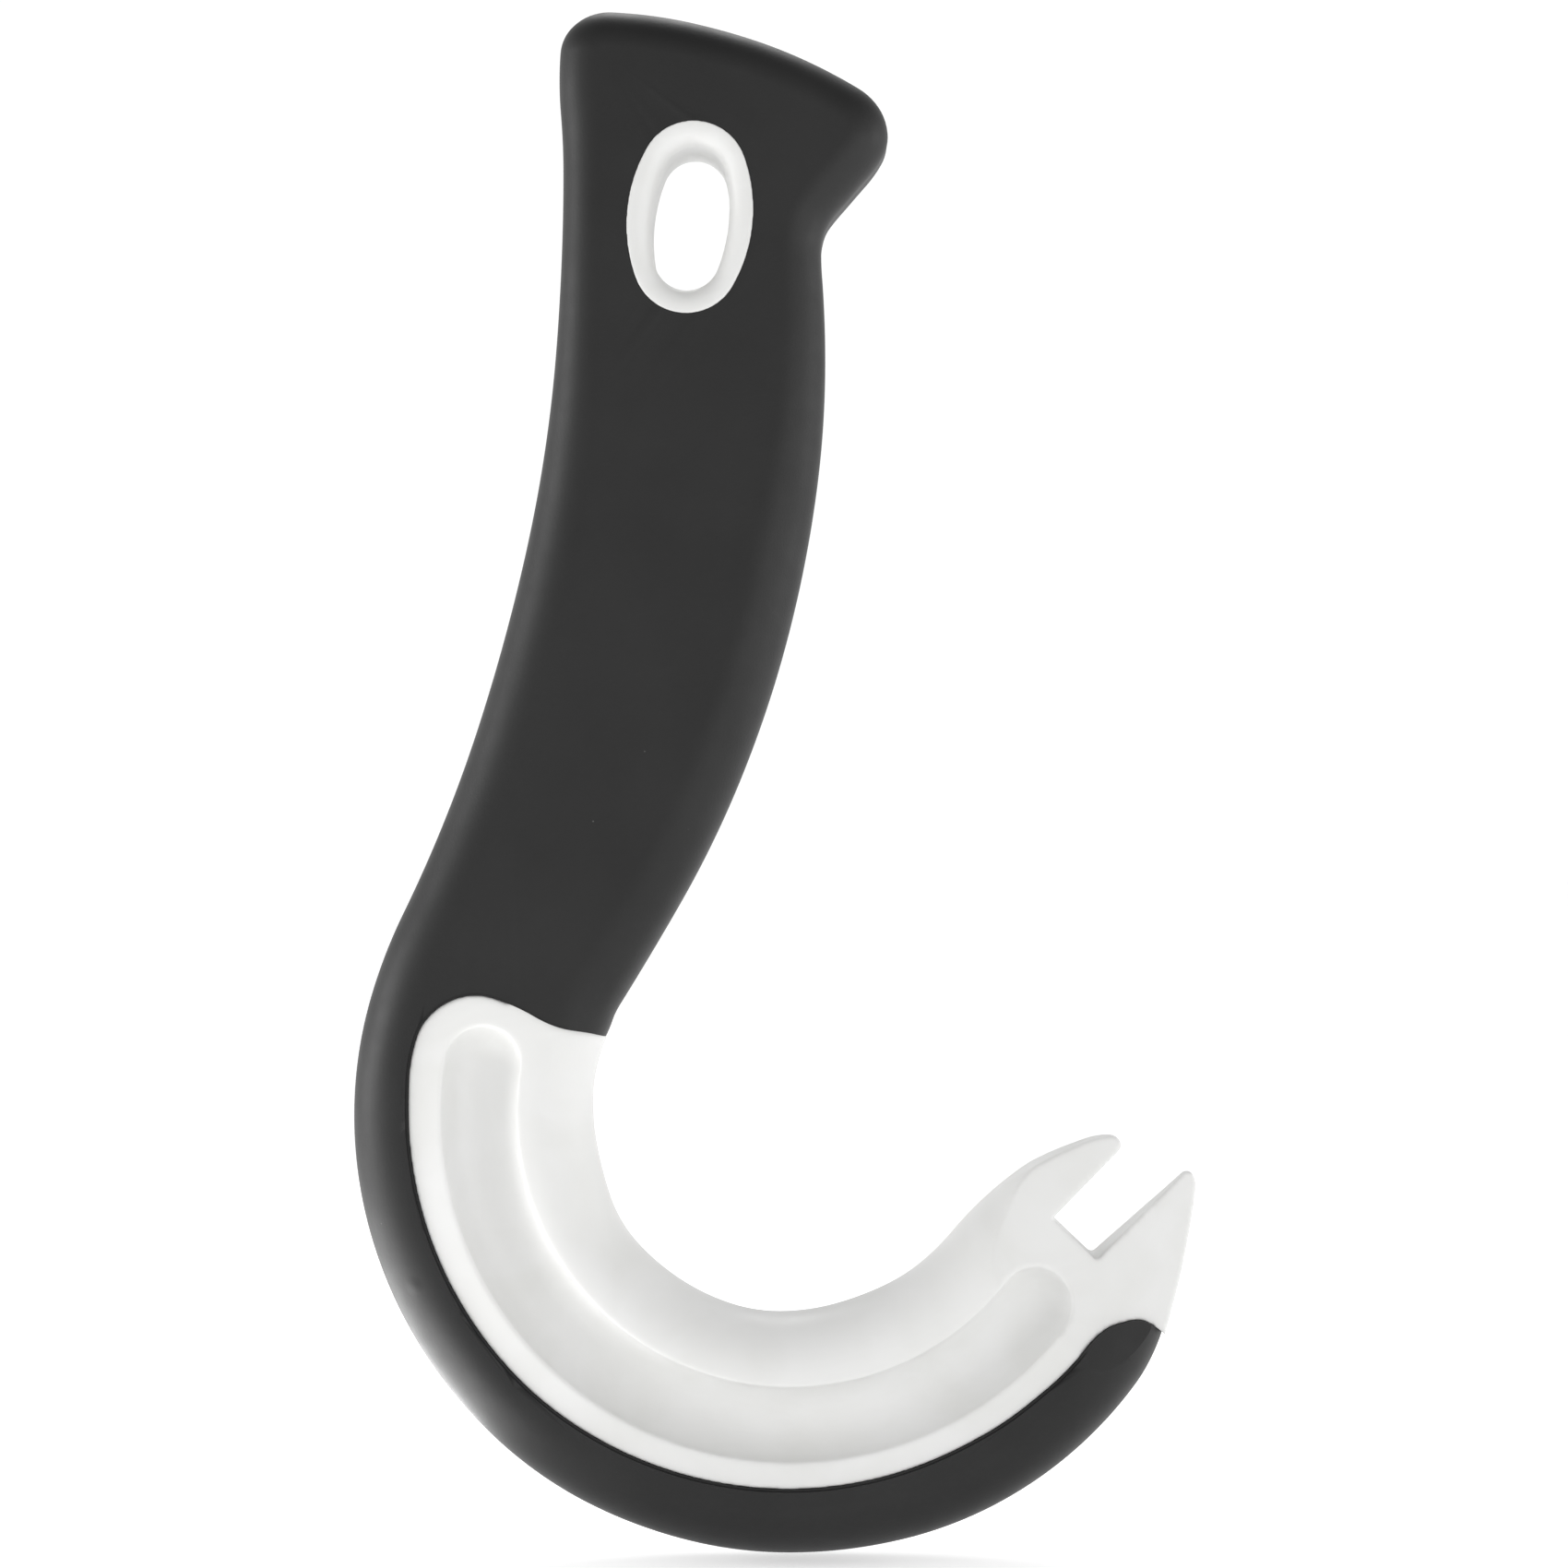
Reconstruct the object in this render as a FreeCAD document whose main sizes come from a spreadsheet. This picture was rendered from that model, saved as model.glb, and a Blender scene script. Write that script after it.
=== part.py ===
"""Ring-pull can opener: a rigid white J-shaped core with a fork at its end, and a soft black grip over it.

Frame: millimetres, +Z up along the handle, +X towards the mouth of the hook, Y through the thickness.
The origin is the centre of the hanging eyelet, on the middle plane. Both faces are alike about that plane.
"""
import FreeCAD, Part
import math
import os

from FreeCAD import Placement, Rotation, Vector

os.makedirs("parts", exist_ok=True)
doc = FreeCAD.newDocument("ring_pull_opener")

# ---------------------------------------------------------------- driving sizes
SIZES = {
    "grip_thick": 13.0,        # soft grip, face to face
    "side_round": 5.8,         # rounding along the handle's sides and the rail
    "butt_round": 4.3,         # rounding round the butt and the pommel, which are tight in plan
    "hook_thick": 12.2,        # white hook, face to face: the grip stands 0.4 proud of it
    "hook_x": 10.3,            # centre of the hook's curve
    "hook_z": -92.0,
    "pocket_run": 32.0,        # radius of the pocket's middle line about the hook's centre
    "pocket_tube": 3.9,        # radius of the pocket's round section
    "pocket_depth": 3.4,
    "pocket_start": 170.9,     # where the pocket's round ends are centred, degrees about the hook's centre
    "pocket_end": -37.4,
    "band_start": 26.55,       # the inner band starts to fall away at this radius
    "fork_heading": 46.5,      # direction of the notch, degrees from +X
    "notch_width": 6.2,        # at the floor
    "notch_floor_x": 39.65,
    "notch_floor_z": -105.2,
    "fork_taper": 14.0,        # slope of each fork face, degrees
    "taper_start": 8.5,        # the slope starts this far behind the notch's floor
    "taper_blend": 15.0,       # radius that leads into the slope
    "grip_proud": 0.4,
    "pocket_edge": 0.45,       # rounding of the pocket's rim
    "rim_lowest": 3.5,         # the rim stays further than this from the middle plane
    "closing_radius": 29.0,    # the blank's closing path about the hook's centre, inside the white region
    "butt_below": 1.0,         # the butt's rounding holds above this height,
    "butt_fade": 30.0,         # and grows to the full one over this length down the handle
    "tang_thick": 6.0,
    "tang_inset": 2.8,         # the tang's edge lies this far inside the grip's silhouette
    "window_length": 15.0,     # windows through the tang, which the soft material fills
    "window_width": 10.0,
    "window_round": 2.5,
    "eyelet_thick": 13.2,      # stands 0.1 proud of the grip on each face
    "eyelet_tilt": 85.0,       # heading of the oval's long axis
    "eyelet_length": 19.8,
    "eyelet_width": 12.94,
    "hole_length": 14.74,
    "hole_width": 7.96,
    "eyelet_lip": 1.9,         # rounding from the eyelet's face into its hole
    "tool_length": 60.0,       # the block that cuts each fork slope
    "tool_width": 40.0,
    "tool_reach": 20.0,        # cutting tools reach this far, past either face
}

# ---------------------------------------------------------------- how edges are told apart, in millimetres
FLAT = 1e-6                # an edge with less extent than this through the thickness lies in a face
TOUCHING = 0.01            # a point this near to a surface lies on it
CLOSING_LINE = 6.0         # the blank's closing lines are longer than this, the silhouette's are shorter
CREST_LINE = 12.0          # the fork slope's first edge is the only line in a face longer than this
HOLE_MARGIN = 1.15         # an edge inside the hole's oval made this much larger is on the hole's rim
STRAIGHT = 1e-5            # an arc that turns less than this, in radians, is drawn as a line

sheet = doc.addObject("Spreadsheet::Sheet", "sizes")
for row, (alias, value) in enumerate(SIZES.items(), start=1):
    sheet.set(f"A{row}", alias)
    sheet.set(f"B{row}", str(value))
    sheet.setAlias(f"B{row}", alias)
doc.recompute()


def size(alias):
    """A driving size, read back from the sheet."""
    return float(sheet.get(alias))


def bind(obj, **cells):
    """Ties properties of an object to cells of the sheet, or to a formula of them."""
    for prop, formula in cells.items():
        for alias in SIZES:
            formula = formula.replace(f"<{alias}>", f"sizes.{alias}")
        obj.setExpression(prop, formula)


# ---------------------------------------------------------------- outlines
# A station is a point that the outline passes and its heading there: (x, z, degrees from +X).
# Two tangent arcs join each station to the next, so a run of stations is smooth.

# from inside the hook's root, up the handle's inner side, round pommel and butt, down the outer side,
# round the hook's outside and on past the rail's end
GRIP_RUN = [
    (-10.6, -90.0, 77), (-8.75, -84.2, 67), (-7.5, -81.3, 58), (4.5, -59.3, 67),
    (13.1, -27.5, 82.5), (13.6, -5.5, 94.5), (13.8, -1.4, 74.5), (15.6, 1.4, 48.5),
    (18.3, 4.5, 48.5), (20.4, 9.2, 95), (17.4, 13.8, 149), (6.3, 18.9, 162),
    (-6.8, 21.6, 176), (-9.4, 21.6, 190), (-13.5, 17.4, 266), (-13.2, 5.0, 270),
    (-16.7, -32.0, 258), (-29.9, -71.6, 244), (-34.9, -89.5, 266), (-27.6, -117.4, 303),
    (-10.0, -133.2, 334), (10.2, -138.0, 360), (33.1, -132.2, 390), (46.1, -120.6, 413.5),
    (48.3, -116.7, 427), (48.9, -115.1, 433), (49.1, -112.5, 442),
]

# windows through the tang: centre, and the handle's heading there
WINDOWS = [(-1.0, -24.0, 261.5), (-5.0, -44.0, 255.0), (-12.1, -64.0, 246.0)]

# round the fork's outer prong: from the rail's end to the notch's outer wall
OUTER_PRONG = [(49.0, -115.0, 73), (51.4, -106.2, 78), (52.5, -100.3, 82), (51.2, -98.6, 221)]

# from the notch's inner wall, round the inner prong's tip and back along the hook's inner edge
INNER_EDGE = [
    (44.5, -96.2, 50), (44.55, -95.2, 125), (43.7, -94.75, 178), (38.8, -96.1, 202.5),
    (32.2, -99.9, 217.5), (27.2, -104.7, 230), (20.3, -110.3, 206), (9.5, -113.1, 181),
    (-1.2, -109.7, 146.5), (-8.4, -101.1, 108.5), (-10.2, -90.5, 88), (-9.25, -85.65, 71),
    (-8.75, -84.4, 67),
]

# where white meets black: across the hook's root, then round the land's outer edge to the rail's end
SEAM = [
    (-8.75, -84.4, 157), (-11.0, -83.7, 170), (-13.4, -83.2, 163), (-18.5, -80.8, 158),
    (-21.4, -79.9, 173), (-24.3, -80.3, 201.5), (-28.1, -84.2, 252), (-28.95, -92.9, 272),
    (-24.4, -110.0, 298), (-13.0, -123.2, 324.5), (9.1, -130.6, 358.5), (26.4, -127.0, 385),
    (33.9, -122.6, 397.5), (40.3, -116.7, 411), (42.4, -114.6, 397), (45.5, -113.5, 371),
    (49.0, -115.0, 318),
]

# start, middle and end of the blank's closing arc, degrees about the hook's centre
CLOSING_ARC = (-28, -105, -180)


def point(x, z):
    return Vector(x, z, 0)


def heading(degrees):
    return point(math.cos(math.radians(degrees)), math.sin(math.radians(degrees)))


def turned(start, middle, tangent):
    """The arc that leaves start along tangent and ends at middle, or a line where it wouldn't bend."""
    way = middle - start
    half_turn = math.atan2(tangent.x * way.y - tangent.y * way.x, tangent.dot(way))
    if abs(half_turn) < STRAIGHT:
        return Part.LineSegment(start, middle)
    side = Vector(way.y, -way.x, 0)
    return Part.Arc(start, (start + middle) * 0.5 + side * (0.5 * math.tan(half_turn / 2)), middle)


def joined(a, b):
    """Two tangent arcs from station a to station b."""
    start, end = point(*a[:2]), point(*b[:2])
    leaving, arriving = heading(a[2]), heading(b[2])
    way, both = end - start, leaving + arriving
    bend = 2 * (1 - leaving.dot(arriving))
    if bend < STRAIGHT ** 2:
        reach = way.dot(way) / (2 * way.dot(both))
    else:
        reach = (math.sqrt(way.dot(both) ** 2 + bend * way.dot(way)) - way.dot(both)) / bend
    middle = (start + end + (leaving - arriving) * reach) * 0.5
    return [turned(start, middle, leaving), turned(end, middle, arriving * -1)]


def smooth(stations):
    """The arcs of a whole run of stations."""
    arcs = []
    for a, b in zip(stations, stations[1:]):
        arcs += joined(a, b)
    return arcs


def straight(*corners):
    return [Part.LineSegment(a, b) for a, b in zip(corners, corners[1:])]


def ends(stations):
    return point(*stations[0][:2]), point(*stations[-1][:2])


def about_hook(radius, degrees):
    return point(size("hook_x"), size("hook_z")) + heading(degrees) * radius


def closed_in_hook(stations):
    """A run of stations closed by a path back through the region where the white hook will be."""
    first, last = ends(stations)
    back = [about_hook(size("closing_radius"), degrees) for degrees in CLOSING_ARC]
    return smooth(stations) + straight(last, back[0]) + [Part.Arc(*back)] + straight(back[2], first)


def notch_floor():
    return point(size("notch_floor_x"), size("notch_floor_z"))


def notch_corners():
    across = heading(size("fork_heading") - 90) * (size("notch_width") / 2)
    return notch_floor() + across, notch_floor() - across


def hook_outline():
    """The white hook seen from its face, fork and notch included."""
    outer_corner, inner_corner = notch_corners()
    outer_wall, inner_wall = ends(OUTER_PRONG)[1], ends(INNER_EDGE)[0]
    return (smooth(OUTER_PRONG) + straight(outer_wall, outer_corner, inner_corner, inner_wall)
            + smooth(INNER_EDGE) + smooth(SEAM))


def oval_outline(length, width):
    """An oval of four arcs about the origin, standing on its tilted long axis."""
    lean = size("eyelet_tilt")
    stations = []
    for quarter, reach in enumerate((length, width, length, width, length)):
        place = heading(lean + 90 * quarter) * (reach / 2)
        stations.append((place.x, place.y, lean + 90 * quarter + 90))
    return smooth(stations)


# ---------------------------------------------------------------- building blocks
def prism(name, outline, thick):
    """A body padded evenly to both sides of the middle plane from an outline."""
    body = doc.addObject("PartDesign::Body", name)
    plane = next(f for f in body.Origin.OriginFeatures if f.Role == "XZ_Plane")
    sketch = body.newObject("Sketcher::SketchObject", name + "_sketch")
    sketch.AttachmentSupport = [(plane, "")]
    sketch.MapMode = "FlatFace"
    sketch.addGeometry(outline, False)
    pad = body.newObject("PartDesign::Pad", name + "_pad")
    pad.Profile = sketch
    pad.SideType = "Symmetric"
    bind(pad, Length=thick)
    body.Tip = pad
    doc.recompute()
    return body


def boolean(kind, name, base, tool):
    result = doc.addObject("Part::" + kind, name)
    result.Base = base
    result.Tool = tool
    doc.recompute()
    return result


def middle_of(edge):
    return edge.valueAt((edge.FirstParameter + edge.LastParameter) / 2)


def rounded(name, base, radius_at, chosen):
    """Rounds the chosen edges. The radius may change along them: radius_at gives it at a point."""
    fillet = doc.addObject("Part::Fillet", name)
    fillet.Base = base
    picked = []
    for number, edge in enumerate(base.Shape.Edges, start=1):
        if chosen(edge):
            start, end = edge.valueAt(edge.FirstParameter), edge.valueAt(edge.LastParameter)
            picked.append((number, radius_at(start), radius_at(end)))
    fillet.Edges = picked
    doc.recompute()
    return fillet


def mirrored(name, source):
    """The same tool on the other face."""
    twin = doc.addObject("Part::Mirroring", name)
    twin.Source = source
    twin.Normal = Vector(0, 1, 0)
    doc.recompute()
    return twin


# ---------------------------------------------------------------- the soft grip's outer shape
def on_grip_run(edge):
    """True for the edges of the blank's two faces that follow the silhouette, not the closing path."""
    curve = edge.Curve
    closing_line = curve.TypeId == "Part::GeomLine" and edge.Length > CLOSING_LINE
    is_arc = curve.TypeId == "Part::GeomCircle"
    closing_arc = is_arc and abs(curve.Radius - size("closing_radius")) < TOUCHING
    return edge.BoundBox.YLength < FLAT and not closing_line and not closing_arc


def grip_round_at(place):
    """The silhouette's rounding: less round the butt and pommel, growing to the full one down the sides."""
    share = min(max((size("butt_below") - place.z) / size("butt_fade"), 0.0), 1.0)
    return size("butt_round") + share * (size("side_round") - size("butt_round"))


def taper_tool(name, lift):
    """A box over the front of the fork, tipped so that its underside is the fork's sloping face."""
    box = doc.addObject("Part::Box", name)
    bind(box, Length="<tool_length>", Width="<tool_width>", Height="<tool_reach>")
    along = Rotation(Vector(0, 0, 1), size("fork_heading"))
    stand = Rotation(Vector(1, 0, 0), 90)
    tip = Rotation(Vector(0, 1, 0), size("fork_taper"))
    crest = notch_floor() - heading(size("fork_heading")) * size("taper_start")
    front = -(size("hook_thick") / 2 + lift)
    centred = Vector(0, -size("tool_width") / 2, 0)
    box.Placement = (Placement(Vector(crest.x, front, crest.y), stand * along)
                     * Placement(Vector(), tip) * Placement(centred, Rotation()))
    doc.recompute()
    return box


def tapered(name, base, lift):
    """The base with both faces of the fork cut to their slopes."""
    front = taper_tool(name + "_front", lift)
    cut = boolean("Cut", name + "_one_face", base, front)
    return boolean("Cut", name, cut, mirrored(name + "_back", front))


# ---------------------------------------------------------------- the white core
def on_hook_axis(name, kind, lift, **cells):
    """A Part primitive whose own axis is the hook's, lifted off the middle plane towards the front."""
    solid = doc.addObject("Part::" + kind, name)
    bind(solid, **cells)
    solid.Placement = Placement(Vector(size("hook_x"), -lift, size("hook_z")), Rotation(Vector(1, 0, 0), 90))
    doc.recompute()
    return solid


def band_cutter():
    """What is cleared round the throat, so that the inner band falls away in a round from the ridge."""
    drum = on_hook_axis("band_drum", "Cylinder", -size("tool_reach"),
                        Radius="<band_start>", Height="2 * <tool_reach>")
    ring = on_hook_axis("band_ring", "Torus", 0, Radius1="<band_start>", Radius2="<hook_thick> / 2")
    return boolean("Cut", "band_cutter", drum, ring)


def pocket_cutter():
    """The front pocket: a round section carried about the hook's centre, with a ball at each end."""
    lift = size("hook_thick") / 2 - size("pocket_depth") + size("pocket_tube")
    sweep = 360 + size("pocket_end") - size("pocket_start")
    bend = on_hook_axis("pocket_bend", "Torus", lift, Radius1="<pocket_run>", Radius2="<pocket_tube>")
    bend.Angle3 = sweep
    bend.Placement = bend.Placement * Placement(Vector(), Rotation(Vector(0, 0, 1), size("pocket_start")))
    tools = [bend]
    for name, degrees in (("pocket_top", size("pocket_start")), ("pocket_tip", size("pocket_end"))):
        ball = doc.addObject("Part::Sphere", name)
        bind(ball, Radius="<pocket_tube>")
        centre = about_hook(size("pocket_run"), degrees)
        ball.Placement.Base = Vector(centre.x, -lift, centre.y)
        tools.append(ball)
    pocket = doc.addObject("Part::MultiFuse", "pocket_cutter")
    pocket.Shapes = tools
    doc.recompute()
    return pocket


def in_plan(place):
    return math.hypot(place.x - size("hook_x"), place.z - size("hook_z"))


def on_crest(edge):
    """The straight edge across each face where the fork's slope starts."""
    in_face = edge.BoundBox.YLength < FLAT
    return in_face and edge.Curve.TypeId == "Part::GeomLine" and edge.Length > CREST_LINE


def on_pocket_rim(edge):
    """Edges on the pocket's round wall and up at the face, on either side of the core."""
    lift = size("hook_thick") / 2 - size("pocket_depth") + size("pocket_tube")
    for place in (middle_of(edge), edge.Vertexes[0].Point, edge.Vertexes[-1].Point):
        turn = math.degrees(math.atan2(place.z - size("hook_z"), place.x - size("hook_x"))) % 360
        turn = min(max(turn, size("pocket_start")), 360 + size("pocket_end"))
        centre = about_hook(size("pocket_run"), turn)
        gap = math.dist((place.x, abs(place.y), place.z), (centre.x, lift, centre.y))
        if abs(gap - size("pocket_tube")) > TOUCHING or abs(place.y) < size("rim_lowest"):
            return False
    return True


def white_hook():
    """Hook and fork: a plate with sloped fork faces, a rounded inner band and a pocket on each face."""
    plate = prism("hook_plate", hook_outline(), "<hook_thick>")
    sloped = tapered("hook_sloped", plate, 0.0)
    blended = rounded("hook_blended", sloped, lambda place: size("taper_blend"), on_crest)
    banded = boolean("Cut", "hook_banded", blended, band_cutter())
    pocket = pocket_cutter()
    one_side = boolean("Cut", "hook_one_pocket", banded, pocket)
    both = boolean("Cut", "hook_pockets", one_side, mirrored("pocket_back", pocket))
    return rounded("hook_rimmed", both, lambda place: size("pocket_edge"), on_pocket_rim)


def inset(stations, by):
    """The stations moved to the left of their headings, into the shape."""
    moved = []
    for x, z, degrees in stations:
        place = point(x, z) + heading(degrees + 90) * by
        moved.append((place.x, place.y, degrees))
    return moved


def window(number, x, z, degrees):
    """One opening through the tang, its long side along the handle."""
    box = doc.addObject("Part::Box", f"window_{number}")
    bind(box, Length="<window_length>", Width="<window_width>", Height="2 * <tool_reach>")
    stand = Rotation(Vector(1, 0, 0), 90) * Rotation(Vector(0, 0, 1), degrees)
    centre = Vector(-size("window_length") / 2, -size("window_width") / 2, -size("tool_reach"))
    box.Placement = Placement(Vector(x, 0, z), stand) * Placement(centre, Rotation())
    doc.recompute()
    return rounded(f"window_{number}_round", box, lambda place: size("window_round"),
                   lambda edge: edge.BoundBox.YLength > size("tool_reach"))


def tang():
    """The plate that runs up inside the grip and along inside the rail, with its three windows."""
    plate = prism("tang_plate", closed_in_hook(inset(GRIP_RUN, size("tang_inset"))), "<tang_thick>")
    for number, place in enumerate(WINDOWS, start=1):
        plate = boolean("Cut", f"tang_windowed_{number}", plate, window(number, *place))
    return plate


def on_eyelet_mouth(edge):
    """The hole's two rims: flat edges close to the hole's own oval."""
    middle = middle_of(edge)
    lean = heading(size("eyelet_tilt"))
    along = middle.x * lean.x + middle.z * lean.y
    across = middle.x * lean.y - middle.z * lean.x
    reach = math.hypot(2 * along / size("hole_length"), 2 * across / size("hole_width"))
    return edge.BoundBox.YLength < FLAT and reach < HOLE_MARGIN


def eyelet(hole):
    """The oval ring about the hanging hole, with a full round into the hole from each face."""
    ring = prism("eyelet_ring", oval_outline(size("eyelet_length"), size("eyelet_width")), "<eyelet_thick>")
    bored = boolean("Cut", "eyelet_bored", ring, hole)
    return rounded("eyelet_lipped", bored, lambda place: size("eyelet_lip"), on_eyelet_mouth)


# ---------------------------------------------------------------- the two mouldings
def rigid_core(hole, tang_plate):
    bored = boolean("Cut", "tang_bored", tang_plate, hole)
    core = doc.addObject("Part::MultiFuse", "rigid_core")
    core.Shapes = [white_hook(), bored, eyelet(hole)]
    return core


def soft_grip(tang_plate):
    """The rounded envelope, less everything that the white core fills."""
    blank = prism("grip_blank", closed_in_hook(GRIP_RUN), "<grip_thick>")
    envelope = rounded("grip_rounded", blank, grip_round_at, on_grip_run)
    shaped = tapered("grip_shaped", envelope, size("grip_proud"))
    opened = boolean("Cut", "grip_opened", shaped, prism("hook_space", hook_outline(), "3 * <hook_thick>"))
    cored = boolean("Cut", "grip_cored", opened, tang_plate)
    eyelet_space = prism("eyelet_space", oval_outline(size("eyelet_length"), size("eyelet_width")),
                         "3 * <eyelet_thick>")
    return boolean("Cut", "soft_grip", cored, eyelet_space)


hole_outline = oval_outline(size("hole_length"), size("hole_width"))
hanging_hole = prism("hanging_hole", hole_outline, "3 * <eyelet_thick>")
inner_plate = tang()
sub_parts = {
    "rigid_core": rigid_core(hanging_hole, inner_plate),
    "soft_grip": soft_grip(inner_plate),
}
for label, part in sub_parts.items():
    part.Label = label
doc.recompute()

for item in doc.Objects:
    if "Invalid" in item.State or "Error" in item.State:
        raise RuntimeError(f"{item.Name} failed: {item.State}")
for label, part in sub_parts.items():
    shape = part.Shape
    if shape.isNull() or not shape.isValid() or len(shape.Solids) != 1:
        raise RuntimeError(f"{label} isn't one valid solid")
for label, part in sub_parts.items():
    part.Shape.exportStep(f"parts/{label}.step")
    box = part.Shape.BoundBox
    print(f"{label}: {part.Shape.Volume:.0f} mm3, x {box.XMin:.2f} to {box.XMax:.2f}, "
          f"y {box.YMin:.2f} to {box.YMax:.2f}, z {box.ZMin:.2f} to {box.ZMax:.2f}")
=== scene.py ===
"""Ring-pull can opener: a black soft grip over a rigid white core, on a pale floor under soft studio light.

Every piece is modelled in millimetres about the hanging eyelet's centre, with +Z up the handle, +X towards
the hook's mouth and Y through the thickness, and is brought to metres when it is finished.
"""
import math

import bpy
from mathutils import Matrix, Vector


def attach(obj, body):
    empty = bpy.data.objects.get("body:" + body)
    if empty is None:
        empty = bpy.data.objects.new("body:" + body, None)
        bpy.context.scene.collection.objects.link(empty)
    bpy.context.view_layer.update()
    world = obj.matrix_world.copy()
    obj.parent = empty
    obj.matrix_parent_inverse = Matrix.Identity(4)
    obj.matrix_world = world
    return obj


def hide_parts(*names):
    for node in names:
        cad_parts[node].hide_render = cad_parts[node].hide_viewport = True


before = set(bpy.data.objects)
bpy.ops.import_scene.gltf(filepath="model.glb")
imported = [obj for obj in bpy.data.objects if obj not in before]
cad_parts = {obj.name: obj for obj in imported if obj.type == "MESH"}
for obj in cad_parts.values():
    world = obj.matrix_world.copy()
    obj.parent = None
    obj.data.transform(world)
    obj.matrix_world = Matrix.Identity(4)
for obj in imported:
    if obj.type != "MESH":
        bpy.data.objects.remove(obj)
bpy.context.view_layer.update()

MM = 0.001

# ---------------------------------------------------------------- driving sizes, millimetres and degrees
# The soft grip
GRIP_THICK = 13.0
SIDE_ROUND = 5.8              # rounding along the handle's sides and the rail
BUTT_ROUND = 4.2              # rounding round the butt and the pommel
BUTT_BELOW = -6.0             # the butt's rounding holds above this height
BUTT_FADE = 28.0              # and grows to the full one over this length down the handle
GRIP_PROUD = 0.4              # the grip's slope beside the fork stands this far over the fork's own
SEAM_ROUND = 0.35             # rounding of the grip's lip where it meets the core
SEAM_GAP = (0.25, 0.3)        # width and depth of the groove between that lip and the core
GATE = (-28.4, -5.7, -109.8)  # where the grip's melt was let in, on the rail
GATE_RADIUS = 1.2
GATE_RISE = 0.06

# The white hook and its fork
HOOK_THICK = 12.2
HOOK_CENTRE = Vector((10.3, -92.0))
POCKET_RUN = 32.0             # radius of the pocket's middle line about the hook's centre
POCKET_TUBE = 3.9
POCKET_DEPTH = 3.4
POCKET_ENDS = (170.9, 322.6)
BAND_WIDTH = 6.6              # the throat's round, seen from the face
BAND_FLAT = 0.1               # strip left between the rounds of the two faces, before they are squeezed
BAND_FADE = (-3.0, 9.0)       # the round shrinks to nothing between these two, along the fork from its notch
FORK_HEADING = 46.5
NOTCH_WIDTH = 6.2
NOTCH_FLOOR = Vector((39.65, -105.2))
FORK_TAPER = 14.0
TAPER_START = 8.5             # the slope starts this far behind the notch's floor
TAPER_BLOCK = (60, 20, 40)    # length, depth and width of the block that cuts the slope

# The eyelet: long and short way across, the long one tilted
EYELET_THICK = 13.2
EYELET_TILT = 85.0
EYELET = (19.8, 12.94)
HOLE = (14.74, 7.96)
EYELET_LIP = 1.9              # rounding of the hole's rims

# The ridge left where the halves of the mould met
PARTING_WIDTH = 0.25
WHITE_PARTING_RISE = 0.05
BLACK_PARTING_RISE = 0.08

# ---------------------------------------------------------------- fineness of the meshes, and tolerances
STEP = 0.7                    # longest side of an outline's polygon
TURN_STEP = 6.0               # most degrees between two of them
CLOSING_STEPS = 24
SIDE_SEGMENTS = 14            # strips across each rounding
LIP_SEGMENTS = 3
BAND_SEGMENTS = 24
RIM_SEGMENTS = 10
POCKET_SIDES = 48
POCKET_STEPS = 120
HOOK_VOXEL = 0.2              # cells of the white pieces' remesh, and the most triangles that they keep
HOOK_TRIANGLES = 190000
RING_VOXEL = 0.12
RING_TRIANGLES = 90000
MELTING = {"factor": 0.5, "iterations": 10}
CREASE = 30                   # the grip's faces meet smoothly under this angle
STRAIGHT = 1e-6               # radians of bend that count as none
PARALLEL = 1e-9
FLAT = 0.01                   # a length under this counts as none
ON_RUN = 0.02                 # an edge this near to an outline's points counts as on it
CLOSING_MARGIN = 0.1
RIM_REACH = 1.1               # the hole's rims lie within this many times its size
FACING = 0.9999               # a normal with this much of Y faces straight to the front or back
BROAD = 100                   # area over which a face counts as one of the grip's two large ones

# ---------------------------------------------------------------- outlines
# A station is a point that the outline passes and its heading there: (x, z, degrees from +X).
# Two tangent arcs join each station to the next.
GRIP_RUN = [
    (-10.6, -90.0, 77), (-8.75, -84.2, 67), (-7.5, -81.3, 58), (4.5, -59.3, 67), (13.1, -27.5, 82.5),
    (13.6, -5.5, 94.5), (13.8, -1.4, 74.5), (15.6, 1.4, 48.5), (18.3, 4.5, 48.5), (20.4, 9.2, 95),
    (17.4, 13.8, 149), (6.3, 18.9, 162), (-6.8, 21.6, 176), (-9.4, 21.6, 190), (-13.5, 17.4, 266),
    (-13.2, 5.0, 270), (-16.7, -32.0, 258), (-29.9, -71.6, 244), (-34.9, -89.5, 266), (-27.6, -117.4, 303),
    (-10.0, -133.2, 334), (10.2, -138.0, 360), (33.1, -132.2, 390), (46.1, -120.6, 413.5),
    (48.3, -116.7, 427), (48.9, -115.1, 433), (49.1, -112.5, 442),
]
CLOSING_RADIUS = 29.0         # the grip's outline closes along this arc about the hook's centre
CLOSING_ARC = (-28.0, -180.0)
OUTER_PRONG = [(49.0, -115.0, 73), (51.4, -106.2, 78), (52.5, -100.3, 82), (51.2, -98.6, 221)]
INNER_EDGE = [
    (44.5, -96.2, 50), (44.55, -95.2, 125), (43.7, -94.75, 178), (38.8, -96.1, 202.5), (32.2, -99.9, 217.5),
    (27.2, -104.7, 230), (20.3, -110.3, 206), (9.5, -113.1, 181), (-1.2, -109.7, 146.5),
    (-8.4, -101.1, 108.5), (-10.2, -90.5, 88), (-9.25, -85.65, 71), (-8.75, -84.4, 67),
]
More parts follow.
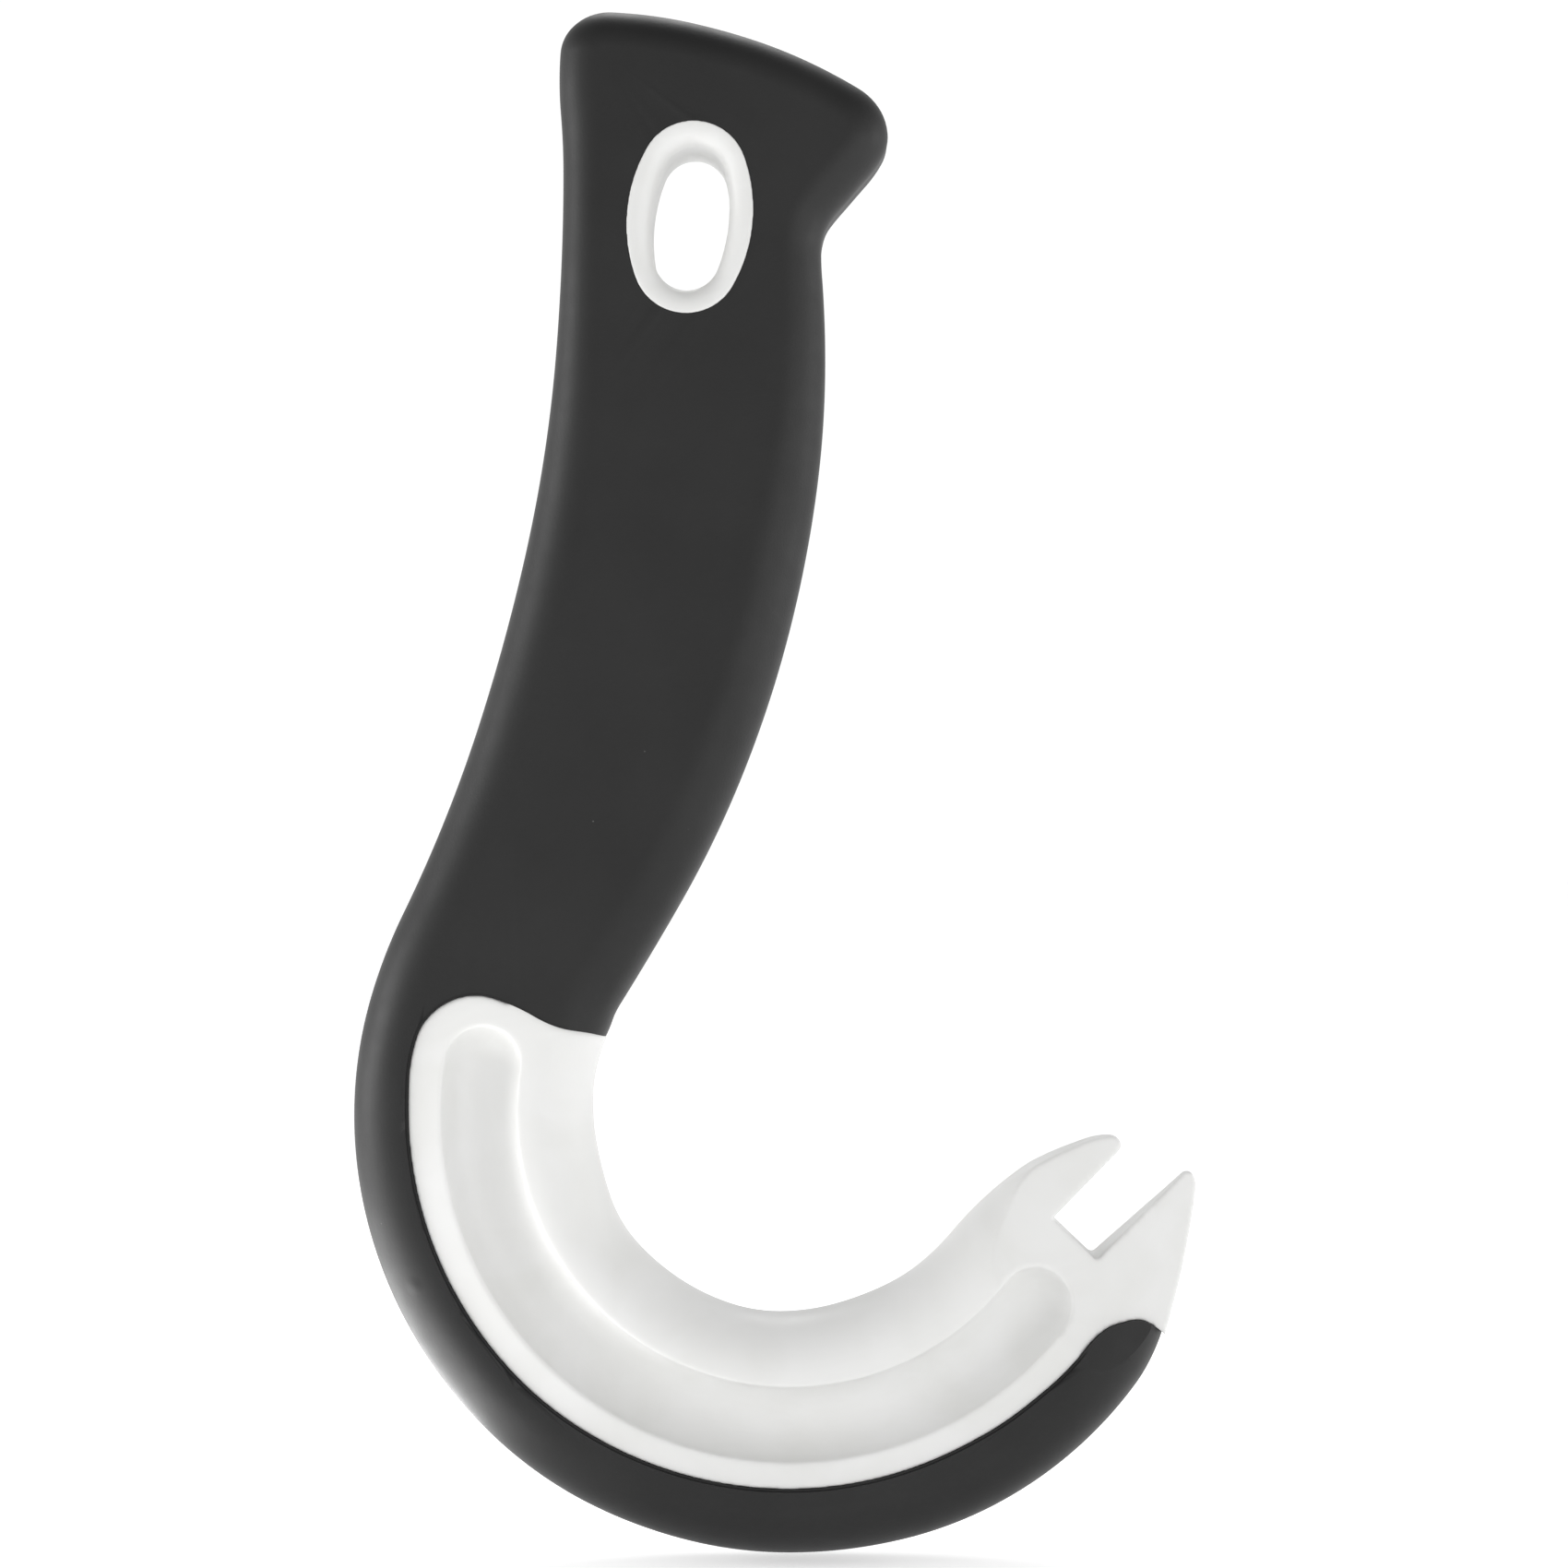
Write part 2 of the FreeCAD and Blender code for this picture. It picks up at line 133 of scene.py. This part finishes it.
SEAM = [
    (-8.75, -84.4, 157), (-11.0, -83.7, 170), (-13.4, -83.2, 163), (-18.5, -80.8, 158), (-21.4, -79.9, 173),
    (-24.3, -80.3, 201.5), (-28.1, -84.2, 252), (-28.95, -92.9, 272), (-24.4, -110.0, 298),
    (-13.0, -123.2, 324.5), (9.1, -130.6, 358.5), (26.4, -127.0, 385), (33.9, -122.6, 397.5),
    (40.3, -116.7, 411), (42.4, -114.6, 397), (45.5, -113.5, 371), (49.0, -115.0, 318),
]
ROOT = [(-9.2, -79.7, 97), (-9.6, -75.0, 93)]    # on from the inner edge, inside the grip
ROOT_CORNER = Vector((-17.5, -75.0))
ROOT_REJOINS = 3              # the root comes back to the seam at this station


def heading(degrees):
    return Vector((math.cos(math.radians(degrees)), math.sin(math.radians(degrees))))


def along_arc(start, end, leaving):
    """Points on the arc from start, leaving on that bearing in radians. The end is left to the next arc."""
    way = end - start
    bend = math.remainder(math.atan2(way.y, way.x) - leaving, 2 * math.pi)
    steps = max(1, math.ceil(way.length / STEP), math.ceil(math.degrees(abs(2 * bend)) / TURN_STEP))
    points = []
    for step in range(steps):
        share = step / steps
        bearing = leaving + bend * share
        reach = math.sin(bend * share) / math.sin(bend) if abs(bend) > STRAIGHT else share
        points.append(start + Vector((math.cos(bearing), math.sin(bearing))) * way.length * reach)
    return points


def joined(a, b):
    """Points on the two tangent arcs from station a to station b."""
    start, end = Vector(a[:2]), Vector(b[:2])
    leaving, arriving = heading(a[2]), heading(b[2])
    way, both = end - start, leaving + arriving
    bend = 2 * (1 - leaving.dot(arriving))
    if bend < PARALLEL:
        reach = way.dot(way) / (2 * way.dot(both))
    else:
        reach = (math.sqrt(way.dot(both) ** 2 + bend * way.dot(way)) - way.dot(both)) / bend
    middle = (start + end + (leaving - arriving) * reach) / 2
    chord = middle - start
    passing = 2 * math.atan2(chord.y, chord.x) - math.radians(a[2])
    return along_arc(start, middle, math.radians(a[2])) + along_arc(middle, end, passing)


def smooth(stations):
    points = []
    for a, b in zip(stations, stations[1:]):
        points += joined(a, b)
    return points + [Vector(stations[-1][:2])]


def let_out(stations, by):
    """The stations moved to the right of their headings, out of the shape."""
    moved = []
    for x, z, degrees in stations:
        place = Vector((x, z)) + heading(degrees - 90) * by
        moved.append((place.x, place.y, degrees))
    return moved


def about_hook(radius, degrees):
    return HOOK_CENTRE + heading(degrees) * radius


def grip_outline():
    """The grip seen from its face, closed by an arc through the region where the white hook will be."""
    first, last = CLOSING_ARC
    turns = [first + (last - first) * step / CLOSING_STEPS for step in range(CLOSING_STEPS + 1)]
    return smooth(GRIP_RUN) + [about_hook(CLOSING_RADIUS, degrees) for degrees in turns]


def notch_corners():
    across = heading(FORK_HEADING - 90) * (NOTCH_WIDTH / 2)
    return [NOTCH_FLOOR + across, NOTCH_FLOOR - across]


def hook_outline(seam):
    """The white hook seen from its face, fork and notch included, bounded by this seam."""
    return smooth(OUTER_PRONG) + notch_corners() + smooth(INNER_EDGE)[:-1] + smooth(seam)[:-1]


def rooted_outline():
    """The hook with its root, which runs on from the inner edge into the grip."""
    inner = smooth(INNER_EDGE + ROOT)
    return smooth(OUTER_PRONG) + notch_corners() + inner + [ROOT_CORNER] + smooth(SEAM[ROOT_REJOINS:])[:-1]


def oval(length, width):
    """An oval of four arcs about the origin, standing on its tilted long axis."""
    stations = []
    for quarter, reach in enumerate((length, width, length, width, length)):
        lean = EYELET_TILT + 90 * quarter
        place = heading(lean) * (reach / 2)
        stations.append((place.x, place.y, lean + 90))
    return smooth(stations)[:-1]


# ---------------------------------------------------------------- bench work
def only(piece):
    """Selects this piece alone and makes it the one that operators act on."""
    bpy.ops.object.select_all(action="DESELECT")
    piece.select_set(True)
    bpy.context.view_layer.objects.active = piece


def pick(piece, kind, chosen):
    """Goes into edit mode with just the chosen parts of the mesh selected."""
    only(piece)
    bpy.ops.object.mode_set(mode="EDIT")
    bpy.ops.mesh.select_mode(type=kind)
    bpy.ops.mesh.select_all(action="DESELECT")
    bpy.ops.object.mode_set(mode="OBJECT")
    parts = piece.data.edges if kind == "EDGE" else piece.data.polygons
    for part in parts:
        part.select = chosen(part)
    bpy.ops.object.mode_set(mode="EDIT")


def leave():
    bpy.ops.object.mode_set(mode="OBJECT")


def plate(name, outline, thick):
    """A disc laid along an outline at the front, then pulled out through the thickness."""
    bpy.ops.object.select_all(action="DESELECT")
    bpy.ops.mesh.primitive_circle_add(vertices=len(outline), fill_type="NGON")
    piece = bpy.context.object
    piece.name = name
    for vertex, place in zip(piece.data.vertices, outline):
        vertex.co = (place.x, -thick / 2, place.y)
    bpy.ops.object.mode_set(mode="EDIT")
    bpy.ops.mesh.select_all(action="SELECT")
    bpy.ops.mesh.extrude_region_move(TRANSFORM_OT_translate={"value": (0, thick, 0)})
    bpy.ops.mesh.select_all(action="SELECT")
    bpy.ops.mesh.normals_make_consistent(inside=False)
    leave()
    return piece


def modify(piece, kind, **settings):
    """Adds a modifier with its settings and applies it."""
    only(piece)
    modifier = piece.modifiers.new(kind.title(), kind)
    for name, value in settings.items():
        setattr(modifier, name, value)
    bpy.ops.object.modifier_apply(modifier=modifier.name)


def combine(piece, tool, operation):
    """Joins a solid to the piece or takes it away, and clears it off the bench."""
    modify(piece, "BOOLEAN", operation=operation, object=tool, solver="MANIFOLD")
    bpy.data.objects.remove(tool)


def cut(piece, *tools):
    for tool in tools:
        combine(piece, tool, "DIFFERENCE")


def mirrored(piece, name):
    """A copy on the other side of the middle plane, turned the right way out again."""
    twin = piece.copy()
    twin.data = piece.data.copy()
    twin.name = name
    bpy.context.collection.objects.link(twin)
    twin.data.transform(Matrix.Scale(-1, 4, (0, 1, 0)))
    twin.data.flip_normals()
    return twin


def ends(mesh, edge):
    return [mesh.vertices[i].co for i in edge.vertices]


def edge_middle(mesh, edge):
    a, b = ends(mesh, edge)
    return (a + b) / 2


def seen_length(mesh, edge):
    """An edge's length seen from the face: nothing for an edge straight through the thickness."""
    a, b = ends(mesh, edge)
    return math.hypot(a.x - b.x, a.z - b.z)


def goes_through(mesh, edge):
    """True for an edge that leads from one face towards the other."""
    a, b = ends(mesh, edge)
    return abs(a.y - b.y) > FLAT


def on_run(run, place):
    """True where a place seen from the face lies on a run of outline points."""
    here = Vector((place.x, place.z))
    for a, b in zip(run, run[1:]):
        along = b - a
        share = min(max((here - a).dot(along) / along.dot(along), 0.0), 1.0)
        if (a + along * share - here).length < ON_RUN:
            return True
    return False


def round_edges(piece, width, segments, share_of):
    """Rounds the edges by this width, each one by its own share of it."""
    mesh = piece.data
    weights = mesh.attributes.new("bevel_weight_edge", "FLOAT", "EDGE")
    for edge in mesh.edges:
        weights.data[edge.index].value = share_of(mesh, edge)
    modify(piece, "BEVEL", limit_method="WEIGHT", width=width, segments=segments, use_clamp_overlap=False)


def softened(piece, cell, triangles):
    """Melts the edges of a piece together as moulding does, then thins the mesh to this many triangles."""
    modify(piece, "REMESH", mode="VOXEL", voxel_size=cell)
    modify(piece, "SMOOTH", **MELTING)
    dense = sum(len(face.vertices) - 2 for face in piece.data.polygons)
    modify(piece, "DECIMATE", ratio=min(1.0, triangles / dense))
    only(piece)
    bpy.ops.object.shade_smooth()


def finished(piece, name, material, node):
    """Brings a piece to metres, gives it its material and hands it to the frame."""
    only(piece)
    piece.name = name
    piece.data.name = name
    piece.scale = (MM, MM, MM)
    bpy.ops.object.transform_apply(location=True, rotation=True, scale=True)
    piece.data.materials.clear()
    piece.data.materials.append(material)
    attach(piece, "root")
    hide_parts(node)


# ---------------------------------------------------------------- the soft grip
def taper_tool(name, lift):
    """A block over the front of the fork, tipped so that its underside is the fork's sloping face."""
    long, deep, wide = TAPER_BLOCK
    bpy.ops.object.select_all(action="DESELECT")
    bpy.ops.mesh.primitive_cube_add(size=1)
    block = bpy.context.object
    block.name = name
    crest = NOTCH_FLOOR - heading(FORK_HEADING) * TAPER_START
    front = HOOK_THICK / 2 + lift
    block.data.transform(
        Matrix.Translation((crest.x, -front, crest.y))
        @ Matrix.Rotation(math.radians(-FORK_HEADING), 4, "Y")
        @ Matrix.Rotation(math.radians(FORK_TAPER), 4, "Z")
        @ Matrix.Translation((long / 2, -deep / 2, 0))
        @ Matrix.Diagonal((long, deep, wide, 1)))
    return block


def side_share(mesh, edge):
    """The grip's rounding at an edge: less at the butt, full down the sides, none where the hook will be."""
    a, b = ends(mesh, edge)
    middle = edge_middle(mesh, edge)
    from_hook = (Vector((middle.x, middle.z)) - HOOK_CENTRE).length
    arc_top = about_hook(CLOSING_RADIUS, CLOSING_ARC[0]).y
    on_closing = from_hook < CLOSING_RADIUS + CLOSING_MARGIN and middle.z < arc_top
    closing_end = (a - b).length > 2 * STEP
    if goes_through(mesh, edge) or on_closing or closing_end:
        return 0.0
    share = min(max((BUTT_BELOW - middle.z) / BUTT_FADE, 0.0), 1.0)
    return (BUTT_ROUND + share * (SIDE_ROUND - BUTT_ROUND)) / SIDE_ROUND


def soft_grip(material):
    """A rounded blank with room cut for the hook and the eyelet, and a thin lip round both."""
    grip = plate("grip", grip_outline(), GRIP_THICK)
    round_edges(grip, SIDE_ROUND, SIDE_SEGMENTS, side_share)
    front = taper_tool("grip_slope", GRIP_PROUD)
    cut(grip, mirrored(front, "grip_slope_back"), front)
    cut(grip, plate("hook_space", hook_outline(SEAM), 3 * HOOK_THICK))
    cut(grip, plate("eyelet_space", oval(*EYELET), 3 * EYELET_THICK))
    width, depth = SEAM_GAP
    lip_run = let_out(SEAM, width)
    groove = plate("groove", hook_outline(lip_run), GRIP_THICK)
    groove.data.transform(Matrix.Translation((0, depth - GRIP_THICK, 0)))
    cut(grip, mirrored(groove, "groove_back"), groove)

    ring = oval(*EYELET)
    lip = smooth(lip_run) + ring + ring[:1]
    on_face = GRIP_THICK / 2 - FLAT
    pick(grip, "EDGE", lambda edge: abs(edge_middle(grip.data, edge).y) > on_face
         and seen_length(grip.data, edge) > FLAT and on_run(lip, edge_middle(grip.data, edge)))
    bpy.ops.mesh.bevel(offset=SEAM_ROUND, segments=LIP_SEGMENTS, affect="EDGES", clamp_overlap=True)
    leave()
    only(grip)
    bpy.ops.object.shade_smooth_by_angle(angle=math.radians(CREASE))
    modify(grip, "WEIGHTED_NORMAL", keep_sharp=True)
    pick(grip, "FACE", lambda face: abs(face.normal.y) > FACING and face.area > BROAD)
    bpy.ops.mesh.set_normals_from_faces(keep_sharp=True)
    leave()
    finished(grip, "soft_grip_skin", material, "soft_grip")


# ---------------------------------------------------------------- the white core
def pocket_tool():
    """The front pocket: a round section carried about the hook's centre, closed by a ball at each end."""
    lift = HOOK_THICK / 2 - POCKET_DEPTH + POCKET_TUBE
    start, end = POCKET_ENDS
    at_start = about_hook(POCKET_RUN, start)
    bpy.ops.object.select_all(action="DESELECT")
    bpy.ops.mesh.primitive_circle_add(vertices=POCKET_SIDES, radius=POCKET_TUBE, fill_type="NGON")
    bend = bpy.context.object
    bend.data.transform(
        Matrix.Translation((at_start.x, -lift, at_start.y))
        @ Matrix.Rotation(math.radians(-start), 4, "Y"))
    bpy.ops.object.mode_set(mode="EDIT")
    bpy.ops.mesh.select_all(action="SELECT")
    bpy.ops.mesh.spin(steps=POCKET_STEPS, angle=math.radians(start - end),
                      center=(HOOK_CENTRE.x, -lift, HOOK_CENTRE.y), axis=(0, -1, 0))
    bpy.ops.mesh.select_all(action="SELECT")
    bpy.ops.mesh.normals_make_consistent(inside=False)
    leave()
    for degrees in POCKET_ENDS:
        centre = about_hook(POCKET_RUN, degrees)
        bpy.ops.mesh.primitive_uv_sphere_add(segments=POCKET_SIDES, ring_count=POCKET_SIDES // 2,
                                             radius=POCKET_TUBE, location=(centre.x, -lift, centre.y))
        combine(bend, bpy.context.object, "UNION")
    return bend


def hook_and_fork(material):
    """A plate with its throat rounded all the way over and sloped fork faces, and a pocket in each face.

    The plate starts thick enough for a round as deep as it is wide. Squeezing it to the hook's thickness
    makes that round the throat's oval one. At its root the hook runs on into the grip.
    """
    thick = 2 * BAND_WIDTH + BAND_FLAT
    hook = plate("hook", rooted_outline(), thick)
    throat = smooth(INNER_EDGE + ROOT)
    shrinks_from, shrinks_to = BAND_FADE

    def throat_share(mesh, edge):
        middle = edge_middle(mesh, edge)
        if seen_length(mesh, edge) < FLAT or not on_run(throat, middle):
            return 0.0
        along = (Vector((middle.x, middle.z)) - NOTCH_FLOOR).dot(heading(FORK_HEADING))
        share = min(max((along - shrinks_from) / (shrinks_to - shrinks_from), 0.0), 1.0)
        return 1.0 - share

    round_edges(hook, BAND_WIDTH, BAND_SEGMENTS, throat_share)
    hook.data.transform(Matrix.Scale(HOOK_THICK / thick, 4, (0, 1, 0)))
    front = taper_tool("fork_slope", 0)
    cut(hook, mirrored(front, "fork_slope_back"), front)
    pocket = pocket_tool()
    cut(hook, mirrored(pocket, "pocket_back"), pocket)
    softened(hook, HOOK_VOXEL, HOOK_TRIANGLES)
    finished(hook, "hook_and_fork", material, "rigid_core")


def eyelet_ring(material):
    """The oval ring of the hanging hole, with only the hole's rims rounded."""
    ring = plate("eyelet", oval(*EYELET), EYELET_THICK)
    cut(ring, plate("hole", oval(*HOLE), 3 * EYELET_THICK))
    long_reach, wide_reach = (reach / 2 for reach in HOLE)
    lean = heading(EYELET_TILT)

    def rim_share(mesh, edge):
        middle = edge_middle(mesh, edge)
        along = (middle.x * lean.x + middle.z * lean.y) / long_reach
        across = (middle.x * lean.y - middle.z * lean.x) / wide_reach
        on_rim = math.hypot(along, across) < RIM_REACH and not goes_through(mesh, edge)
        return 1.0 if on_rim else 0.0

    round_edges(ring, EYELET_LIP, RIM_SEGMENTS, rim_share)
    softened(ring, RING_VOXEL, RING_TRIANGLES)
    finished(ring, "eyelet_ring", material, "rigid_core")


# ---------------------------------------------------------------- materials
NOISE_RANGE = {"From Min": 0.35, "From Max": 0.65}    # a noise's values mostly lie between these two


def linear(code):
    """An sRGB hex colour as linear red, green, blue and alpha."""
    parts = [int(code[i:i + 2], 16) / 255 for i in (1, 3, 5)]
    return [c / 12.92 if c <= 0.04045 else ((c + 0.055) / 1.055) ** 2.4 for c in parts] + [1.0]


def per_mm(size):
    """The scale that gives a pattern features of this many millimetres."""
    return 1 / (size * MM)


def add_node(tree, kind, settings=(), **links):
    """Adds a node, sets its properties and sockets, and links sockets to other nodes' outputs.

    A setting is named for its property or socket, or numbered where two sockets share a name.
    """
    node = tree.nodes.new(kind)
    for name, value in dict(settings).items():
        if isinstance(name, int) or name in node.inputs:
            node.inputs[name].default_value = value
        else:
            setattr(node, name, value)
    for name, source in links.items():
        tree.links.new(source, node.inputs[name.replace("_", " ")])
    return node


def new_material(name):
    material = bpy.data.materials.new(name)
    material.use_nodes = True
    tree = material.node_tree
    tree.nodes.clear()
    return material, tree


def parting_line(tree, place, under, rise):
    """The hair-thin ridge where the two halves of the mould met: all round, on the middle plane."""
    through = add_node(tree, "ShaderNodeSeparateXYZ", Vector=place)
    off_plane = add_node(tree, "ShaderNodeMath", {"operation": "ABSOLUTE"}, Value=through.outputs["Y"])
    ridge = add_node(tree, "ShaderNodeMapRange",
                     {"From Min": PARTING_WIDTH / 4 * MM, "From Max": PARTING_WIDTH / 2 * MM,
                      "To Min": 1, "To Max": 0}, Value=off_plane.outputs["Value"])
    bump = add_node(tree, "ShaderNodeBump", {"Distance": rise * MM}, Height=ridge.outputs["Result"],
                    Normal=under)
    return bump.outputs["Normal"]


def moulded_white_abs():
    """White ABS from a lightly blasted mould: satin and even, with a soft eggshell grain when seen close to.

    Its gloss drifts a little where the melt flowed, and handling has greyed it by a shade in slow patches.
    """
    material, tree = new_material("moulded white ABS")
    place = add_node(tree, "ShaderNodeTexCoord").outputs["Object"]
    patches = add_node(tree, "ShaderNodeTexNoise", {"Scale": per_mm(11), "Detail": 3, "Distortion": 0.8},
                       Vector=place)
    greyed = add_node(tree, "ShaderNodeMapRange", NOISE_RANGE, Value=patches.outputs["Fac"])
    colour = add_node(tree, "ShaderNodeMixRGB", {"Color1": linear("#DADAD9"), "Color2": linear("#D5D5D3")},
                      Fac=greyed.outputs["Result"])
    flow = add_node(tree, "ShaderNodeTexNoise", {"Scale": per_mm(3), "Detail": 4}, Vector=place)
    satin = add_node(tree, "ShaderNodeMapRange", {**NOISE_RANGE, "To Min": 0.38, "To Max": 0.46},
                     Value=flow.outputs["Fac"])
    # The blasting's real pits are about 0.1 mm wide. They are drawn coarser, so that they show.
    pits = add_node(tree, "ShaderNodeTexNoise", {"Scale": per_mm(0.45), "Detail": 2}, Vector=place)
    eggshell = add_node(tree, "ShaderNodeBump", {"Strength": 0.5, "Distance": 0.012 * MM},
                        Height=pits.outputs["Fac"])
    normal = parting_line(tree, place, eggshell.outputs["Normal"], WHITE_PARTING_RISE)
    shader = add_node(tree, "ShaderNodeBsdfPrincipled", {"IOR": 1.5}, Base_Color=colour.outputs["Color"],
                      Roughness=satin.outputs["Result"], Normal=normal)
    add_node(tree, "ShaderNodeOutputMaterial", Surface=shader.outputs["BSDF"])
    return material


def black_elastomer():
    """Black soft-touch elastomer from a spark-eroded mould: a fine even grain that spreads every highlight.

    Fingers have polished it in patches, a few specks of lint cling to it, and the gate's stub was cut off
    on the rail and left a low soft swelling.
    """
    material, tree = new_material("black elastomer")
    place = add_node(tree, "ShaderNodeTexCoord").outputs["Object"]
    handling = add_node(tree, "ShaderNodeTexNoise", {"Scale": per_mm(14), "Detail": 4}, Vector=place)
    worn = add_node(tree, "ShaderNodeMapRange", NOISE_RANGE, Value=handling.outputs["Fac"])
    colour = add_node(tree, "ShaderNodeMixRGB", {"Color1": linear("#121212"), "Color2": linear("#181818")},
                      Fac=worn.outputs["Result"])
    # Lint: a speck at the middle of each cell, 7 mm from the next, and only where a cell's middle is near
    # enough to the surface.
    cells = add_node(tree, "ShaderNodeTexVoronoi", {"Scale": per_mm(7)}, Vector=place)
    specks = add_node(tree, "ShaderNodeMapRange",
                      {"From Min": 0.008, "From Max": 0.016, "To Min": 0.35, "To Max": 0},
                      Value=cells.outputs["Distance"])
    linted = add_node(tree, "ShaderNodeMixRGB", {"Color2": linear("#6E6E6C")}, Fac=specks.outputs["Result"],
                      Color1=colour.outputs["Color"])
    polish = add_node(tree, "ShaderNodeTexNoise", {"Scale": per_mm(2.5), "Detail": 3}, Vector=place)
    sheen = add_node(tree, "ShaderNodeMapRange", {**NOISE_RANGE, "To Min": 0.48, "To Max": 0.52},
                     Value=polish.outputs["Fac"])
    # Spark erosion's real pits are about 0.05 mm wide. They are drawn coarser, so that they show.
    pits = add_node(tree, "ShaderNodeTexNoise", {"Scale": per_mm(0.22), "Detail": 2}, Vector=place)
    grain = add_node(tree, "ShaderNodeBump", {"Strength": 0.6, "Distance": 0.02 * MM},
                     Height=pits.outputs["Fac"])
    from_gate = add_node(tree, "ShaderNodeVectorMath", {"operation": "DISTANCE", 1: Vector(GATE) * MM},
                         Vector=place)
    swelling = add_node(tree, "ShaderNodeMapRange",
                        {"interpolation_type": "SMOOTHSTEP", "From Max": GATE_RADIUS * MM,
                         "To Min": 1, "To Max": 0}, Value=from_gate.outputs["Value"])
    gated = add_node(tree, "ShaderNodeBump", {"Distance": GATE_RISE * MM}, Height=swelling.outputs["Result"],
                     Normal=grain.outputs["Normal"])
    normal = parting_line(tree, place, gated.outputs["Normal"], BLACK_PARTING_RISE)
    shader = add_node(tree, "ShaderNodeBsdfPrincipled", {"IOR": 1.4}, Base_Color=linted.outputs["Color"],
                      Roughness=sheen.outputs["Result"], Normal=normal)
    add_node(tree, "ShaderNodeOutputMaterial", Surface=shader.outputs["BSDF"])
    return material


# ---------------------------------------------------------------- floor, light and camera, in metres
FLOOR_SIZE = 6
FLOOR_HEIGHT = -0.1390
TOOL_MIDDLE = (0.010, 0, -0.060)
LAMPS = [    # name, place, width and watts; all of them face the tool's middle
    ("left light", (-0.50, -0.03, -0.08), 0.30, 1.8),
    ("right light", (0.50, -0.02, 0.00), 0.30, 0.5),
    ("front right light", (0.34, -0.34, -0.10), 0.30, 0.48),
    ("top back light", (0.0, 0.22, 0.30), 0.20, 0.5),
]
RAIL_LAMP = (-0.078, 0.012, -0.1385)    # a small lamp that lies on the floor and faces up, beside the rail
RAIL_LAMP_WIDTH = 0.09
RAIL_LAMP_WATTS = 0.15
CAMERA_PLACE = (0.00966, -0.421, -0.05818)
CAMERA_LENS = 92.8
CAMERA_SENSOR = 36


def soft_light(name, place, aim, width, watts):
    lamp = bpy.data.lights.new(name, "AREA")
    lamp.size = width
    lamp.energy = watts
    holder = bpy.data.objects.new(name, lamp)
    holder.location = place
    holder.rotation_euler = (Vector(aim) - Vector(place)).to_track_quat("-Z", "Y").to_euler()
    bpy.context.collection.objects.link(holder)


def studio_walls():
    """White all round, full up to a little above the horizon and dimmer overhead."""
    world = bpy.data.worlds.new("studio")
    world.use_nodes = True
    tree = world.node_tree
    back = tree.nodes["Background"]
    back.inputs["Color"].default_value = linear("#FFFFFF")
    way = add_node(tree, "ShaderNodeTexCoord")
    parts = add_node(tree, "ShaderNodeSeparateXYZ", Vector=way.outputs["Generated"])
    falling = add_node(tree, "ShaderNodeMapRange",
                       {"From Min": 0.2, "From Max": 0.9, "To Min": 1.04, "To Max": 0.35},
                       Value=parts.outputs["Z"])
    tree.links.new(falling.outputs["Result"], back.inputs["Strength"])
    bpy.context.scene.world = world


def studio_floor():
    """White paper under the tool, lit a little from within so that it stays white to its far edge."""
    bpy.ops.object.select_all(action="DESELECT")
    bpy.ops.mesh.primitive_plane_add(size=FLOOR_SIZE, location=(0, 0, FLOOR_HEIGHT))
    floor = bpy.context.object
    floor.name = "floor"
    material, tree = new_material("pale floor")
    shader = add_node(tree, "ShaderNodeBsdfPrincipled",
                      {"Base Color": linear("#FAFAFA"), "Roughness": 0.9,
                       "Emission Color": linear("#FFFFFF"), "Emission Strength": 0.45})
    add_node(tree, "ShaderNodeOutputMaterial", Surface=shader.outputs["BSDF"])
    floor.data.materials.append(material)


def studio_camera():
    camera = bpy.data.cameras.new("camera")
    camera.lens = CAMERA_LENS
    camera.sensor_width = CAMERA_SENSOR
    holder = bpy.data.objects.new("camera", camera)
    holder.location = CAMERA_PLACE
    holder.rotation_euler = (math.radians(90), 0, 0)
    bpy.context.collection.objects.link(holder)
    bpy.context.scene.camera = holder


white = moulded_white_abs()
black = black_elastomer()
soft_grip(black)
hook_and_fork(white)
eyelet_ring(white)

bpy.context.scene.view_settings.view_transform = "Standard"
studio_walls()
studio_floor()
for name, place, width, watts in LAMPS:
    soft_light(name, place, TOOL_MIDDLE, width, watts)
soft_light("low left light", RAIL_LAMP, (RAIL_LAMP[0], RAIL_LAMP[1], 0), RAIL_LAMP_WIDTH, RAIL_LAMP_WATTS)
studio_camera()
